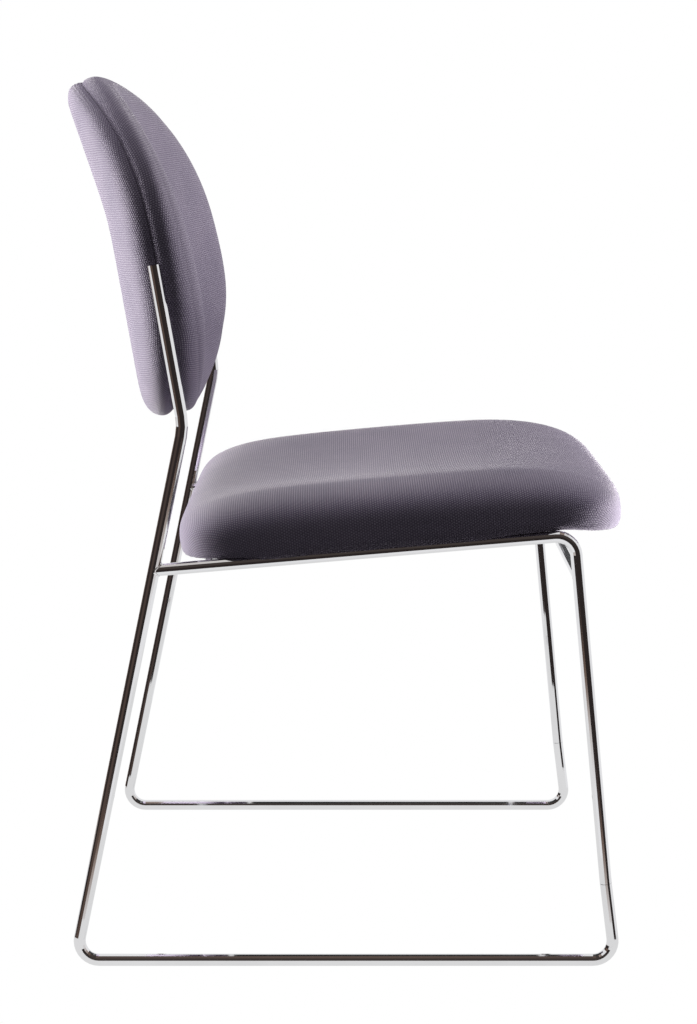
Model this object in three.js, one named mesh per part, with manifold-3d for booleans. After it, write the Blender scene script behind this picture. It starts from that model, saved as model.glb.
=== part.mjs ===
// Sled base visitor chair: two bent rod side frames, cross rods, an upholstered seat and a two-part back.
// Millimetres, +Z up. The chair faces -Y, and its right side, as its sitter sees it, is at -X.
import * as THREE from 'three';
import { mergeVertices } from 'three/addons/utils/BufferGeometryUtils.js';
import Module from 'manifold-3d';

// Side frames. Heights are of the rod's centre line, and corners are where its straight lines meet.
const rodDiameter = 11;
const frameWidth = 480;
const runnerLength = 493;
const bendHeight = 499;
const rearLegRun = 102.3;
const uprightLength = 147;
const uprightLeanDegrees = 9.85;
const frontCornerHeight = 400.3;
const frontLegRun = 38.7;
const railFall = 32.3;
const cornerRadius = 18;
const uprightBendRadius = 50;
const rodJointHeight = 78;
const footKick = 2.2;

// Cross rods. The rear one is placed along the rails from the rear legs.
const frontCrossDiameter = 9.6;
const frontCrossDrop = 39.3;
const rearCrossDiameter = 8;
const rearCrossOffset = 48;
const rearCrossDrop = 0.5;
const weldBead = 0.7;

// Seat, measured along the rails from the rear legs, and in height over the rails' centre line.
const seatOverhang = 10;
const seatRearGap = 18;
const seatDepth = 417.5;
const seatCrownHeight = 60;
const seatDish = 14;
const seatCrownSpacing = 350;
const seatWidestHeight = 18;
const seatLipHeight = 3.8;
const seatLipInset = 3.6;
const seatLipDroop = 13.5;
const seatDroopReach = 79;
const seatNoseFall = 7.5;
const seatNoseReach = 130;
const seatBoardThickness = 9;
const seatBoardInset = 14;
const seatHemWidth = 25;
const undersideThickness = 1.5;

// Seat tabs on the rails.
const tabThickness = 3;
const tabWidth = 22;
const tabReach = 37;
const tabHoleInset = 27;
const rearTabSetback = 72;
const frontTabSetback = 124;

// Back, measured up the uprights from their bend, and in depth forward of their centre line.
const backSideClearance = 1;
const backMiddle = 148;
const backRise = 178;
const backDrop = 154;
const backHollow = 38.5;
const backLeanStart = 190;
const backLeanBlend = 10;
const seamForward = 4;
const seamHighForward = 2.5;
const seamLowStart = 96;
const seamLowForward = 14;
const frontPadDepth = 55.5;
const frontPadDish = 15;
const frontPadCrownSpacing = 380;
const frontPadFallStart = 85;
const frontPadFallBlend = 20;
const frontPadBulge = 4;
const frontPadRoll = 6;
const frontPadRollInset = 2;
const rearPadDepth = 15;
const rearPadBulge = 0.6;
const rearPadLowBulge = 6;
const rearPadRoll = 3;
const rearPadRollInset = 1.2;
const frontBoardThickness = 8;
const rearBoardThickness = 4;
const backBoardInset = 18;
const backHemWidth = 28;

// Back brackets and clips.
const bracketThickness = 2.4;
const bracketHeight = 48;
const bracketMiddle = 122;
const bracketReach = 54;
const bracketHoleInset = 42;
const bracketHoleSpacing = 26;
const clipSpacing = 220;
const clipRearGrip = 4;
const clipFrontGrip = 6;
const clipShankDiameter = 6;
const clipCollarDiameter = 13;
const clipCollarThickness = 2;
const clipRise = 80;
const clipDrop = 70;

// Fabric and fastenings.
const coverThickness = 1.5;
const screwDiameter = 6;
const screwHeadDiameter = 11;
const screwHeadHeight = 3.2;
const screwEngagement = 8;
const headAccessDiameter = 15;
const nutFlangeDiameter = 18;
const nutFlangeThickness = 1.2;
const nutBarrelDiameter = 8.4;
const gap = 0.3;
const boreClearance = 0.35;
const cutOverrun = 4;

// Shares and counts that give the soft forms their character.
const backLeanShare = 0.17;
const frontPadFallShare = 0.06;
const seatFrontSquarenessShare = 7;
const seatRearSquarenessShare = 8;
const backTopSquarenessShare = 2.25;
const backBottomSquarenessShare = 2.45;
const cornerCrowdingShare = 0.62;
const rimCrowdingShare = 2.6;
const lipCornerShare = 0.35;
const lipCornerBlendShare = 0.12;
const lipBendShare = 0.72;
const lipBendBlendShare = 0.12;
const seatWallShares = [0.45, 0.8, 1];
const seatSideShares = { flatness: 4.5, fullness: 4 };
const seatFrontShares = { flatness: 3.2, fullness: 2.6 };
const seatRearShares = { flatness: 3.7, fullness: 2.6 };
const frontPadSideShares = { flatness: 8, fullness: 2, spread: 7 };
const frontPadTopShares = { flatness: 5.5, fullness: 4.5 };
const frontPadBottomShares = { flatness: 3, fullness: 4.5 };
const rearPadSideShares = { flatness: 24, fullness: 2, spread: 3 };
const rearPadTopShares = { flatness: 30, fullness: 2 };
const rearPadBottomShares = { flatness: 18, fullness: 2 };
const seamRingShares = [0.25, 0.5, 0.75, 1];
const rodSides = 16;
const seatSegments = 36;
const seatRings = 7;
const backSegments = 36;
const backRings = 7;
const boltSegments = 12;
const hiddenSegments = 8;
const bendStep = Math.PI / 15;

const rodRadius = rodDiameter / 2;
const halfFrame = frameWidth / 2;
const seatWidth = frameWidth + 2 * seatOverhang;
const backWidth = frameWidth - rodDiameter - 2 * backSideClearance;
const runnerHeight = rodRadius * Math.cos(Math.PI / rodSides);
const uprightLean = THREE.MathUtils.degToRad(uprightLeanDegrees);

const wasm = await Module();
wasm.setup();

// Turns a closed geometry into a solid that can be cut and joined.
function toSolid(geometry) {
  const bare = geometry.clone();
  bare.deleteAttribute('normal');
  bare.deleteAttribute('uv');
  const welded = mergeVertices(bare, rodDiameter * 1e-5);
  return new wasm.Manifold(new wasm.Mesh({
    numProp: 3,
    vertProperties: new Float32Array(welded.attributes.position.array),
    triVerts: new Uint32Array(welded.index.array),
  }));
}

function toGeometry(solid) {
  const mesh = solid.getMesh();
  const geometry = new THREE.BufferGeometry();
  geometry.setAttribute('position', new THREE.BufferAttribute(mesh.vertProperties, 3));
  geometry.setIndex(new THREE.BufferAttribute(mesh.triVerts, 1));
  geometry.computeVertexNormals();
  return geometry;
}

function cutBy(geometry, ...tools) {
  let solid = toSolid(geometry);
  for (const tool of tools) {
    solid = solid.subtract(toSolid(tool));
  }
  return toGeometry(solid);
}

// A curve through given stations, so that straight runs need no rings between their ends.
class StationCurve extends THREE.Curve {
  constructor(stations) {
    super();
    this.stations = stations;
  }

  stationAt(t) {
    return this.stations[Math.round(t * (this.stations.length - 1))];
  }

  getPointAt(t, target = new THREE.Vector3()) {
    return target.copy(this.stationAt(t).point);
  }

  getTangentAt(t, target = new THREE.Vector3()) {
    return target.copy(this.stationAt(t).tangent);
  }
}

// Straight lines through the corners, with an arc of the given radius at each inner corner.
function bentStations(corners, radii) {
  const direction = (from, to) => to.clone().sub(from).normalize();
  const last = corners.length - 1;
  const stations = [{ point: corners[0], tangent: direction(corners[0], corners[1]) }];
  for (let i = 1; i < last; i += 1) {
    const into = direction(corners[i - 1], corners[i]);
    const out = direction(corners[i], corners[i + 1]);
    const turn = into.angleTo(out);
    const side = out.clone().addScaledVector(into, -Math.cos(turn)).normalize();
    const start = corners[i].clone().addScaledVector(into, -radii[i - 1] * Math.tan(turn / 2));
    const steps = Math.ceil(turn / bendStep);
    for (let k = 0; k <= steps; k += 1) {
      const angle = (turn * k) / steps;
      stations.push({
        point: start.clone()
          .addScaledVector(into, radii[i - 1] * Math.sin(angle))
          .addScaledVector(side, radii[i - 1] * (1 - Math.cos(angle))),
        tangent: into.clone().multiplyScalar(Math.cos(angle)).addScaledVector(side, Math.sin(angle)),
      });
    }
  }
  stations.push({ point: corners[last], tangent: direction(corners[last - 1], corners[last]) });
  return stations;
}

// A round rod. Its section has a flat side facing straight down where the rod lies on the floor.
function rodGeometry(corners, radii, radius) {
  const section = [];
  for (let i = 0; i < rodSides; i += 1) {
    const angle = ((i + 0.5) * 2 * Math.PI) / rodSides;
    section.push(new THREE.Vector2(radius * Math.cos(angle), radius * Math.sin(angle)));
  }
  const stations = bentStations(corners, radii);
  return new THREE.ExtrudeGeometry(new THREE.Shape(section), {
    steps: stations.length - 1,
    bevelEnabled: false,
    extrudePath: new StationCurve(stations),
  });
}

// A round cutter or pin along any direction, given by its middle.
function roundBar(radius, length, middle, direction) {
  const bar = new THREE.CylinderGeometry(radius, radius, length, boltSegments);
  const turn = new THREE.Quaternion().setFromUnitVectors(new THREE.Vector3(0, 1, 0), direction);
  bar.applyQuaternion(turn);
  bar.translate(middle.x, middle.y, middle.z);
  return bar;
}

// A closed solid between two sheets. Each sheet has a middle point and rings from there outwards,
// all of equal count, and the two are joined along their last rings.
function sheetSolid(outer, inner, flip) {
  const count = outer.rings[0].length;
  const points = [];
  const index = [];
  const face = (a, b, c, turned) => (turned ? index.push(a, c, b) : index.push(a, b, c));
  const band = (here, below, turned) => {
    for (let j = 0; j < count; j += 1) {
      const next = (j + 1) % count;
      face(here + j, below + j, below + next, turned);
      face(here + j, below + next, here + next, turned);
    }
  };
  const addSheet = (sheet, turned) => {
    const first = points.length;
    points.push(sheet.middle, ...sheet.rings.flat());
    for (let j = 0; j < count; j += 1) {
      face(first, first + 1 + j, first + 1 + ((j + 1) % count), turned);
    }
    for (let i = 1; i < sheet.rings.length; i += 1) {
      band(first + 1 + (i - 1) * count, first + 1 + i * count, turned);
    }
    return points.length - count;
  };
  const outerRim = addSheet(outer, flip);
  const innerRim = addSheet(inner, !flip);
  band(outerRim, innerRim, flip);
  const geometry = new THREE.BufferGeometry().setFromPoints(points);
  geometry.setIndex(index);
  geometry.computeVertexNormals();
  return geometry;
}

// Unit points of a rounded outline. More of them lie at its corners.
function unitOutline(count, upperSquareness, lowerSquareness) {
  const crowd = (value) => Math.sign(value) * Math.abs(value) ** cornerCrowdingShare;
  return Array.from({ length: count }, (_, i) => {
    const angle = (2 * Math.PI * i) / count;
    const across = crowd(Math.cos(angle));
    const along = crowd(Math.sin(angle));
    const n = along > 0 ? upperSquareness : lowerSquareness;
    const reach = (Math.abs(across) ** n + Math.abs(along) ** n) ** (1 / n);
    return { across: across / reach, along: along / reach };
  });
}

// The share of its full height that a crown has at a share of the way out from its middle.
function crownShare(out, flatness, fullness) {
  return (1 - Math.min(out, 1) ** flatness) ** (1 / fullness);
}

// Shares of the way out at which crowned surfaces have their rings, crowded at the rim.
function crownSteps(count) {
  return Array.from({ length: count }, (_, k) => 1 - (1 - (k + 1) / count) ** rimCrowdingShare);
}

// Materials.
const chrome = { color: 0xd9dadc, roughness: 0.08, metalness: 1 };
const steel = { color: 0x9c9ea2, roughness: 0.35, metalness: 1 };
const fabric = { color: 0x8a8191, roughness: 0.95, metalness: 0 };
const foam = { color: 0xd8cfae, roughness: 1, metalness: 0 };
const plywood = { color: 0xc49a67, roughness: 0.7, metalness: 0 };
const blackPanel = { color: 0x1c1b1d, roughness: 0.8, metalness: 0 };
const clipPlastic = { color: 0xe7e5df, roughness: 0.5, metalness: 0 };

const chair = new THREE.Group();
const seatGroup = new THREE.Group();
const backGroup = new THREE.Group();
chair.add(seatGroup, backGroup);

function addPiece(parent, name, geometry, finish) {
  const mesh = new THREE.Mesh(geometry, new THREE.MeshStandardMaterial(finish));
  mesh.name = name;
  parent.add(mesh);
  return mesh;
}

const sides = [{ name: 'right', x: -halfFrame }, { name: 'left', x: halfFrame }];

// Points of a side frame, given by how far forward of the rear floor corner and how high they are.
const inPlane = (x, forward, height) => new THREE.Vector3(x, -forward, height);

const legRise = bendHeight - runnerHeight;
const rearLegForward = (height) => (rearLegRun * (height - runnerHeight)) / legRise;
const frontLegRise = frontCornerHeight - runnerHeight;
const frontLegForward = (height) => runnerLength - (frontLegRun * (height - runnerHeight)) / frontLegRise;
const railRearHeight = frontCornerHeight - railFall;
const railRearForward = rearLegForward(railRearHeight);
const railRun = frontLegForward(frontCornerHeight) - railRearForward;
const railSlope = Math.atan2(railFall, railRun);
const frontLegLean = Math.atan2(frontLegRun, frontLegRise);

// The side rod: upright, rear leg, runner and front corner, up to its joint with the front rod.
// Its last stretch leans a little more than the leg above the joint.
function sideRodCorners(x) {
  const jointHeight = rodJointHeight - (gap / 2) * Math.cos(frontLegLean);
  return [
    inPlane(
      x,
      rearLegRun - uprightLength * Math.sin(uprightLean),
      bendHeight + uprightLength * Math.cos(uprightLean),
    ),
    inPlane(x, rearLegRun, bendHeight),
    inPlane(x, 0, runnerHeight),
    inPlane(x, runnerLength + footKick, runnerHeight),
    inPlane(x, frontLegForward(jointHeight), jointHeight),
  ];
}

// The front rod: front leg and seat rail. The rail ends on the rear leg's centre line, before it is coped.
function frontRodCorners(x) {
  const jointHeight = rodJointHeight + (gap / 2) * Math.cos(frontLegLean);
  return [
    inPlane(x, frontLegForward(jointHeight), jointHeight),
    inPlane(x, frontLegForward(frontCornerHeight), frontCornerHeight),
    inPlane(x, railRearForward, railRearHeight),
  ];
}

const rearLegLine = (x) => [inPlane(x, 0, runnerHeight), inPlane(x, rearLegRun, bendHeight)];
const frontLegLine = (x) => [inPlane(x, runnerLength, runnerHeight), frontRodCorners(x)[1]];
const railLine = (x) => [frontRodCorners(x)[1], frontRodCorners(x)[2]];

// The ring of metal that fills the corner where one rod's end meets the side of another.
function weldRing(endLine, endRadius, sideLine, sideRadius) {
  const near = toSolid(rodGeometry(endLine, [], endRadius + weldBead));
  const core = toSolid(rodGeometry(endLine, [], endRadius + gap));
  const along = toSolid(rodGeometry(sideLine, [], sideRadius + weldBead));
  const through = toSolid(rodGeometry(sideLine, [], sideRadius + gap));
  return toGeometry(near.intersect(along).subtract(core).subtract(through));
}

for (const side of sides) {
  addPiece(
    chair,
    `${side.name}_side_rod`,
    rodGeometry(sideRodCorners(side.x), [uprightBendRadius, cornerRadius, cornerRadius], rodRadius),
    chrome,
  );
  const frontRod = rodGeometry(frontRodCorners(side.x), [cornerRadius], rodRadius);
  const legCutter = rodGeometry(rearLegLine(side.x), [], rodRadius + gap);
  addPiece(chair, `${side.name}_front_rod`, cutBy(frontRod, legCutter), chrome);
  const railEnd = [railLine(side.x)[1], railLine(side.x)[0]];
  addPiece(
    chair,
    `${side.name}_rail_weld`,
    weldRing(railEnd, rodRadius, rearLegLine(side.x), rodRadius),
    chrome,
  );
}

// A cross rod from side to side, coped to the rods that it meets, with a weld ring at each end.
function addCrossRod(name, radius, forward, height, lineOf) {
  const middle = inPlane(0, forward, height);
  const whole = rodGeometry(sides.map((side) => inPlane(side.x, forward, height)), [], radius);
  const cutters = sides.map((side) => rodGeometry(lineOf(side.x), [], rodRadius + gap));
  addPiece(chair, name, cutBy(whole, ...cutters), chrome);
  for (const side of sides) {
    const end = [inPlane(side.x, forward, height), middle];
    addPiece(chair, `${name}_${side.name}_weld`, weldRing(end, radius, lineOf(side.x), rodRadius), chrome);
  }
}

const frontCrossHeight = frontCornerHeight - frontCrossDrop;
addCrossRod(
  'front_cross_rod',
  frontCrossDiameter / 2,
  frontLegForward(frontCrossHeight),
  frontCrossHeight,
  frontLegLine,
);
addCrossRod(
  'rear_cross_rod',
  rearCrossDiameter / 2,
  railRearForward + rearCrossOffset * Math.cos(railSlope),
  railRearHeight + rearCrossOffset * Math.sin(railSlope) - rearCrossDrop,
  railLine,
);

// Screw with a domed head. It stands on its head's underside and points along +Z.
function screwGeometry(shankLength) {
  const radius = screwDiameter / 2;
  const head = screwHeadDiameter / 2;
  const profile = [
    new THREE.Vector2(0, -screwHeadHeight),
    new THREE.Vector2(head * 0.6, -screwHeadHeight * 0.85),
    new THREE.Vector2(head, -screwHeadHeight * 0.3),
    new THREE.Vector2(head, 0),
    new THREE.Vector2(radius, 0),
    new THREE.Vector2(radius, shankLength),
    new THREE.Vector2(0, shankLength),
  ];
  return new THREE.LatheGeometry(profile, boltSegments).rotateX(Math.PI / 2);
}

// T-nut: a barrel that points along -Z from a round flange whose far face is at zero.
function nutGeometry(barrelLength) {
  const bore = screwDiameter / 2 + boreClearance;
  const barrel = nutBarrelDiameter / 2;
  const flange = nutFlangeDiameter / 2;
  const profile = [
    new THREE.Vector2(bore, -barrelLength),
    new THREE.Vector2(barrel, -barrelLength),
    new THREE.Vector2(barrel, -nutFlangeThickness),
    new THREE.Vector2(flange, -nutFlangeThickness),
    new THREE.Vector2(flange, 0),
    new THREE.Vector2(bore, 0),
    new THREE.Vector2(bore, -barrelLength),
  ];
  return new THREE.LatheGeometry(profile, hiddenSegments).rotateX(Math.PI / 2);
}

// Places a fastener that points along +Z so that it points along a direction from a point.
function aim(geometry, origin, direction) {
  const turn = new THREE.Quaternion().setFromUnitVectors(new THREE.Vector3(0, 0, 1), direction);
  return geometry.applyQuaternion(turn).translate(origin.x, origin.y, origin.z);
}

// The seat group lies along the rails: its origin is on the line between the rails' rear ends.
seatGroup.position.set(0, -railRearForward, railRearHeight);
seatGroup.rotation.x = -railSlope;
const onSeat = (x, forward, height) => new THREE.Vector3(x, -forward, height);

const seatMiddle = seatRearGap + seatDepth / 2;
const seatUnit = unitOutline(seatSegments, seatFrontSquarenessShare, seatRearSquarenessShare);
const hemHeight = rodRadius + gap;
const boardBottom = hemHeight + coverThickness + gap;
const boardTop = boardBottom + seatBoardThickness;

// A ring of the seat's outline, drawn in by an inset, scaled towards its middle, at a height.
function seatRing(inset, scale, heightAt) {
  return seatUnit.map((unit) => {
    const x = unit.across * (seatWidth / 2 - inset) * scale;
    const forward = seatMiddle + unit.along * (seatDepth / 2 - inset) * scale;
    return onSeat(x, forward, heightAt(x, forward, unit));
  });
}

// How far something near the front edge hangs down at a place, growing over a reach.
function hangAt(forward, reach, atEdge) {
  const past = (forward - (seatRearGap + seatDepth - reach)) / reach;
  return atEdge * Math.max(0, past) ** 2;
}

// The lip hangs below the line of the rails at the front, and the nose above it falls with it.
const seatDroop = (forward) => hangAt(forward, seatDroopReach, seatLipDroop);
const seatFall = (forward) => hangAt(forward, seatNoseReach, seatNoseFall);

// The lip hangs beside the rails along the sides, passes above the rods where the corners begin, and
// hangs free again past the rods' front bend.
function seatLip(unit) {
  const corner = Math.abs(unit.across * unit.along);
  const raised = THREE.MathUtils.clamp((corner - lipCornerShare) / lipCornerBlendShare, 0, 1);
  const past = THREE.MathUtils.clamp((unit.along - lipBendShare) / lipBendBlendShare, 0, 1);
  return seatLipHeight + (hemHeight - seatLipHeight) * raised * (1 - past);
}

// The crown: raised at both sides, dished between them, with a long fall at the front.
function seatCrown(inset, out) {
  return (x, forward, unit) => {
    const front = Math.max(0, unit.along) ** 2;
    const rear = Math.max(0, -unit.along) ** 2;
    const mix = (of) => (
      seatSideShares[of] * (1 - front - rear) + seatFrontShares[of] * front + seatRearShares[of] * rear
    );
    const dish = Math.max(0, 1 - (x / (seatCrownSpacing / 2)) ** 2) * (1 - out ** 4);
    const top = seatCrownHeight - seatDish * dish - inset;
    const share = crownShare(out, mix('flatness'), mix('fullness'));
    return seatWidestHeight + (top - seatWidestHeight) * share - seatFall(forward);
  };
}

// Rings from the crown's middle down to the lip, for the cover's outside, its inside and the foam.
function seatUpperRings(inset) {
  const crown = crownSteps(seatRings).map((out) => seatRing(inset, out, seatCrown(inset, out)));
  const walls = seatWallShares.map((fall) => seatRing(
    inset + seatLipInset * fall ** 3,
    1,
    (x, forward, unit) => {
      const low = seatLip(unit) + 2 * inset - seatDroop(forward);
      const widest = seatWidestHeight - seatFall(forward);
      return widest + (low - widest) * fall;
    },
  ));
  return [...crown, ...walls];
}

const seatTopPoint = (inset) => onSeat(0, seatMiddle, seatCrown(inset, 0)(0, seatMiddle, { along: 0 }));
const level = (height) => () => height;
const halfDrooped = (height) => (x, forward) => height - seatDroop(forward) / 2;
const hemTurn = rodRadius + seatLipInset;
const hemTop = hemHeight + coverThickness;

// A flat sheet at one height, out to an inset edge.
const flatSheet = (inset, height) => ({
  middle: onSeat(0, seatMiddle, height),
  rings: [seatRing(inset, 1, level(height))],
});

// The cushion's surface over the crown, down the walls and in below to a hem at a height.
const cushionSheet = (inset, height, underInsets) => ({
  middle: seatTopPoint(inset),
  rings: [
    ...seatUpperRings(inset),
    seatRing(hemTurn, 1, halfDrooped(height)),
    ...underInsets.map((under) => seatRing(under, 1, level(height))),
  ],
});

const hemInsets = [seatBoardInset, seatHemWidth];
addPiece(
  seatGroup,
  'seat_cover',
  sheetSolid(cushionSheet(0, hemHeight, hemInsets), cushionSheet(coverThickness, hemTop, hemInsets), true),
  fabric,
);

const pocketInset = seatBoardInset - gap;
addPiece(
  seatGroup,
  'seat_foam',
  sheetSolid(
    cushionSheet(coverThickness + gap, hemTop + gap, [pocketInset]),
    flatSheet(pocketInset, boardTop + gap),
    true,
  ),
  foam,
);

// Seat fastening points, one at each tab.
const seatPoints = sides.flatMap((side) => [
  { name: `${side.name}_rear`, side, forward: seatRearGap + rearTabSetback },
  { name: `${side.name}_front`, side, forward: seatRearGap + seatDepth - frontTabSetback },
]);
const holeX = (side) => Math.sign(side.x) * (halfFrame - tabHoleInset);
const up = new THREE.Vector3(0, 0, 1);

function seatBore(point, radius, from, to) {
  const middle = onSeat(holeX(point.side), point.forward, (from + to) / 2);
  return roundBar(radius, to - from, middle, up);
}

const boardDisc = sheetSolid(
  flatSheet(seatBoardInset, boardTop),
  flatSheet(seatBoardInset, boardBottom),
  true,
);
const boardBores = seatPoints.flatMap((point) => [
  seatBore(point, nutBarrelDiameter / 2 + boreClearance, boardBottom - cutOverrun, boardTop + cutOverrun),
  seatBore(
    point,
    nutFlangeDiameter / 2 + 2 * boreClearance,
    boardTop - nutFlangeThickness - gap,
    boardTop + cutOverrun,
  ),
]);
addPiece(seatGroup, 'seat_board', cutBy(boardDisc, ...boardBores), plywood);

const panelInset = seatHemWidth + gap;
const panelTop = hemHeight + undersideThickness;
const panelDisc = sheetSolid(flatSheet(panelInset, panelTop), flatSheet(panelInset, hemHeight), true);
const panelBores = seatPoints.map((point) => (
  seatBore(point, screwDiameter / 2 + boreClearance, hemHeight - cutOverrun, hemTop + cutOverrun)
));
addPiece(seatGroup, 'seat_underside_cover', cutBy(panelDisc, ...panelBores), blackPanel);

const tabBottom = rodRadius - tabThickness;
for (const point of seatPoints) {
  const inward = -Math.sign(point.side.x);
  const plate = new THREE.BoxGeometry(tabReach, tabWidth, tabThickness);
  plate.translate(point.side.x + (inward * tabReach) / 2, -point.forward, tabBottom + tabThickness / 2);
  const railCutter = rodGeometry(
    [onSeat(point.side.x, point.forward - tabWidth, 0), onSeat(point.side.x, point.forward + tabWidth, 0)],
    [],
    rodRadius + gap,
  );
  const bore = seatBore(
    point,
    screwDiameter / 2 + boreClearance,
    tabBottom - cutOverrun,
    rodRadius + cutOverrun,
  );
  addPiece(seatGroup, `${point.name}_seat_tab`, cutBy(plate, railCutter, bore), steel);

  const seatOfHead = onSeat(holeX(point.side), point.forward, tabBottom - gap);
  const screwLength = boardBottom - (tabBottom - gap) + screwEngagement;
  addPiece(seatGroup, `${point.name}_seat_screw`, aim(screwGeometry(screwLength), seatOfHead, up), steel);

  const nutOrigin = onSeat(holeX(point.side), point.forward, boardTop);
  const nut = nutGeometry(seatBoardThickness);
  addPiece(seatGroup, `${point.name}_seat_nut`, aim(nut, nutOrigin, up), steel);
}

// The back group leans with the uprights: its origin is on the line between their bends.
backGroup.position.set(0, -rearLegRun, bendHeight);
backGroup.rotation.x = -uprightLean;
const onBack = (x, rise, depth) => new THREE.Vector3(x, -depth, rise);

const backUnit = unitOutline(backSegments, backTopSquarenessShare, backBottomSquarenessShare);

// How far a rise is past a start, with a soft beginning.
const softPast = (rise, start, blend) => blend * Math.log1p(Math.exp((rise - start) / blend));

// The line that the whole back follows: hollow across, and leaning further back near the top.
function shellDepth(x, rise) {
  const lean = backLeanShare * softPast(rise, backLeanStart, backLeanBlend);
  return -(backHollow + lean) * (1 - (x / halfFrame) ** 2);
}

// The seam between the halves runs in front of that line, more at the sides, the top and the bottom.
function seamShift(x, rise) {
  const high = Math.max(0, rise - backMiddle) / backRise;
  const low = Math.max(0, seamLowStart - rise) / (seamLowStart - backMiddle + backDrop);
  return seamForward * (x / halfFrame) ** 2 + seamHighForward * high ** 2 + seamLowForward * low ** 2;
}

const seamDepth = (x, rise) => shellDepth(x, rise) + seamShift(x, rise);

// A ring of the back's outline, drawn in by an inset, scaled towards its middle and pushed out.
function backRing(inset, scale, pushOut, depthAt) {
  return backUnit.map((unit) => {
    const height = unit.along > 0 ? backRise : backDrop;
    const push = pushOut(unit);
    const x = unit.across * ((backWidth / 2 - inset) * scale + push);
    const rise = backMiddle + unit.along * ((height - inset) * scale + push);
    return onBack(x, rise, seamDepth(x, rise) + depthAt(x, rise, unit));
  });
}

const still = () => 0;

// A pad's crown, which changes from its sides to its top and bottom end.
function padShare(side, top, bottom) {
  return (out, unit) => {
    const towardEnd = Math.abs(unit.along) ** side.spread;
    const end = unit.along > 0 ? top : bottom;
    const flatness = side.flatness + (end.flatness - side.flatness) * towardEnd;
    const fullness = side.fullness + (end.fullness - side.fullness) * towardEnd;
    return crownShare(out, flatness, fullness);
  };
}

// The front half is full at its top and bottom edge, and dished between its side crowns.
const frontShare = padShare(frontPadSideShares, frontPadTopShares, frontPadBottomShares);

function frontDish(out, unit, x) {
  const across = Math.max(0, 1 - (x / (frontPadCrownSpacing / 2)) ** 2);
  return frontPadDish * across * (1 - out ** 6) * frontShare(out, unit) ** 3;
}

// The front half thins towards the top.
const frontFall = (rise) => frontPadFallShare * softPast(rise, frontPadFallStart, frontPadFallBlend);

// The rear half is even, with a round edge.
const rearShare = padShare(rearPadSideShares, rearPadTopShares, rearPadBottomShares);

const seamGap = gap / 2;
const halves = [
  {
    name: 'front',
    facing: 1,
    depth: frontPadDepth,
    share: frontShare,
    dish: frontDish,
    fall: frontFall,
    bulge: frontPadBulge,
    lowBulge: 0,
    bulgeEndShare: 0.6,
    roll: frontPadRoll,
    rollInset: frontPadRollInset,
    board: frontBoardThickness,
  },
  {
    name: 'rear',
    facing: -1,
    depth: rearPadDepth,
    share: rearShare,
    dish: () => 0,
    fall: () => 0,
    bulge: rearPadBulge,
    lowBulge: rearPadLowBulge,
    bulgeEndShare: 1,
    roll: rearPadRoll,
    rollInset: rearPadRollInset,
    board: rearBoardThickness,
  },
];

// Depth of a half's padded surface from the seam. It starts from a layer and is drawn in by an inset.
function padDepth(half, inset, layer, out, x, rise, unit) {
  const full = half.depth + seamGap - inset - layer;
  const share = half.share(out, unit);
  const padded = layer + (full - half.fall(rise)) * share - half.dish(out, unit, x);
  return half.facing * padded - seamShift(x, rise) * share;
}

// How far the edge swells past the seam, strongest at the middle of the edge's thickness. Beside the
// seam it rolls inwards.
function swell(half, out) {
  return (unit) => {
    const share = half.share(out, unit);
    const rolled = Math.max(0, 1 - (share * half.depth) / half.roll);
    const bulge = half.bulge + half.lowBulge * Math.max(0, -unit.along) ** 4;
    const swollen = bulge * Math.sin(Math.PI * Math.min(1, share / half.bulgeEndShare));
    return swollen - half.rollInset * rolled ** 2;
  };
}

// The padded surface of a half, from its middle to the seam and in along a hem.
function padSheet(half, inset, layer, hemInsets) {
  const middle = padDepth(half, inset, layer, 0, 0, backMiddle, { along: 0 });
  return {
    middle: onBack(0, backMiddle, seamDepth(0, backMiddle) + middle),
    rings: [
      ...crownSteps(backRings).map((out) => (
        backRing(
          inset,
          out,
          swell(half, out),
          (x, rise, unit) => padDepth(half, inset, layer, out, x, rise, unit),
        )
      )),
      ...hemInsets.map((hem) => backRing(hem, 1, still, () => half.facing * layer)),
    ],
  };
}

// A face that follows the seam at a distance, from its middle to its edge.
function seamSheet(half, inset, layer) {
  return {
    middle: onBack(0, backMiddle, seamDepth(0, backMiddle) + half.facing * layer),
    rings: [
      ...seamRingShares.map((out) => backRing(backHemWidth, out, still, () => half.facing * layer)),
      backRing(inset, 1, still, () => half.facing * layer),
    ],
  };
}

// The brackets follow the slope of the seam beside the uprights.
const bracketEnd = halfFrame - bracketReach;
const bracketDepth = seamDepth(halfFrame, bracketMiddle);
const bracketTilt = Math.atan2(bracketDepth - seamDepth(bracketEnd, bracketMiddle), bracketReach);

// Where a bracket's middle plane is, inward from its upright.
function bracketPoint(side, inward, rise) {
  const x = Math.sign(side.x) * (halfFrame - inward * Math.cos(bracketTilt));
  return onBack(x, rise, bracketDepth - inward * Math.sin(bracketTilt));
}

const bracketFront = (side) => (
  new THREE.Vector3(-Math.sign(side.x) * Math.sin(bracketTilt), -Math.cos(bracketTilt), 0)
);

function bracketPlate(side, thickness, margin) {
  const plate = new THREE.BoxGeometry(bracketReach + margin, thickness, bracketHeight + 2 * margin);
  plate.rotateZ(-Math.sign(side.x) * bracketTilt);
  const middle = bracketPoint(side, (bracketReach + margin) / 2, bracketMiddle);
  return plate.translate(middle.x, middle.y, middle.z);
}

const backPoints = sides.flatMap((side) => [
  { name: `${side.name}_lower`, side, rise: bracketMiddle - bracketHoleSpacing / 2 },
  { name: `${side.name}_upper`, side, rise: bracketMiddle + bracketHoleSpacing / 2 },
].map((point) => ({
  ...point,
  origin: bracketPoint(side, bracketHoleInset, point.rise),
  normal: bracketFront(side),
})));

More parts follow.
